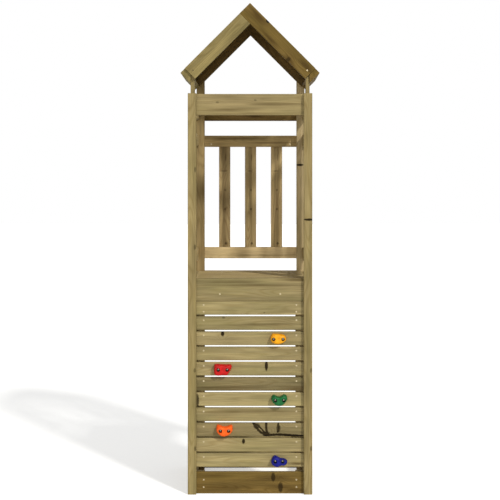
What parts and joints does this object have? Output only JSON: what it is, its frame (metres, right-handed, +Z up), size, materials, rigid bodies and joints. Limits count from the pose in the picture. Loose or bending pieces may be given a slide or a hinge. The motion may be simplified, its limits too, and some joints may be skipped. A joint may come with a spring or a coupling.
{
  "type": "wooden climbing frame",
  "caption": "Narrow pine climbing tower with a slatted wall, moulded holds, a railed deck and a small gable roof.",
  "frame": {"origin": "on the ground, at the middle of the whole outline", "axes": "+Z up, +Y from the climbing wall to the back, +X to the right as seen by someone who faces the wall"},
  "size_m": [0.59, 0.4794, 2.075],
  "materials": {
    "pine": "planed, pressure-impregnated pine, greenish brown, unvarnished, with knots and eased edges",
    "pine_dark": "the same pine in darker, browner boards",
    "beech": "plain turned dowel",
    "yellow_resin": "moulded grit-filled resin, satin",
    "red_resin": "moulded grit-filled resin, satin",
    "green_resin": "moulded grit-filled resin, satin",
    "orange_resin": "moulded grit-filled resin, satin",
    "blue_resin": "moulded grit-filled resin, satin",
    "bolt_steel": "zinc-plated",
    "screw_steel": "pale zinc-plated"
  },
  "bodies": {
    "root": {"front_left_upright": "pine", "front_right_upright": "pine", "front_left_cover": "pine", "front_right_cover": "pine", "rear_left_post": "pine", "rear_right_post": "pine", "rear_covers": "pine", "front_header": "pine", "rear_header": "pine_dark", "side_headers": "pine", "wall_top_board": "pine", "wall_slat_1": "pine", "wall_slat_2": "pine", "wall_slat_3": "pine", "wall_slat_4": "pine", "wall_slat_5": "pine", "wall_slat_6": "pine", "wall_slat_7": "pine", "wall_slat_8": "pine", "wall_slat_9": "pine", "wall_slat_10": "pine", "wall_slat_11": "pine", "wall_battens": "pine_dark", "front_bottom_board": "pine_dark", "rear_bottom_board": "pine", "left_bottom_board": "pine", "right_bottom_board": "pine", "rear_lower_board": "pine", "rear_top_rail": "pine_dark", "rear_lower_rail": "pine", "rear_railing_slats": "pine", "left_rails": "pine", "left_railing_slats": "pine", "right_rails": "pine", "right_railing_slats": "pine", "deck_boards": "pine", "deck_joists": "pine_dark", "deck_cleats": "pine_dark", "deck_rims": "pine", "front_left_gable_board": "pine", "front_right_gable_board": "pine_dark", "rear_left_gable_board": "pine_dark", "rear_right_gable_board": "pine_dark", "left_eave_board": "pine", "right_eave_board": "pine", "left_roof_boards": "pine_dark", "right_roof_boards": "pine_dark", "yellow_hold": "yellow_resin", "red_hold": "red_resin", "green_hold": "green_resin", "orange_hold": "orange_resin", "blue_hold": "blue_resin", "hold_bolts": "bolt_steel", "hold_nuts": "bolt_steel", "wall_screws": "screw_steel", "rear_screws": "screw_steel", "side_screws": "screw_steel", "deck_screws": "screw_steel", "roof_screws": "screw_steel", "side_dowels": "beech"}
  },
  "joints": []
}
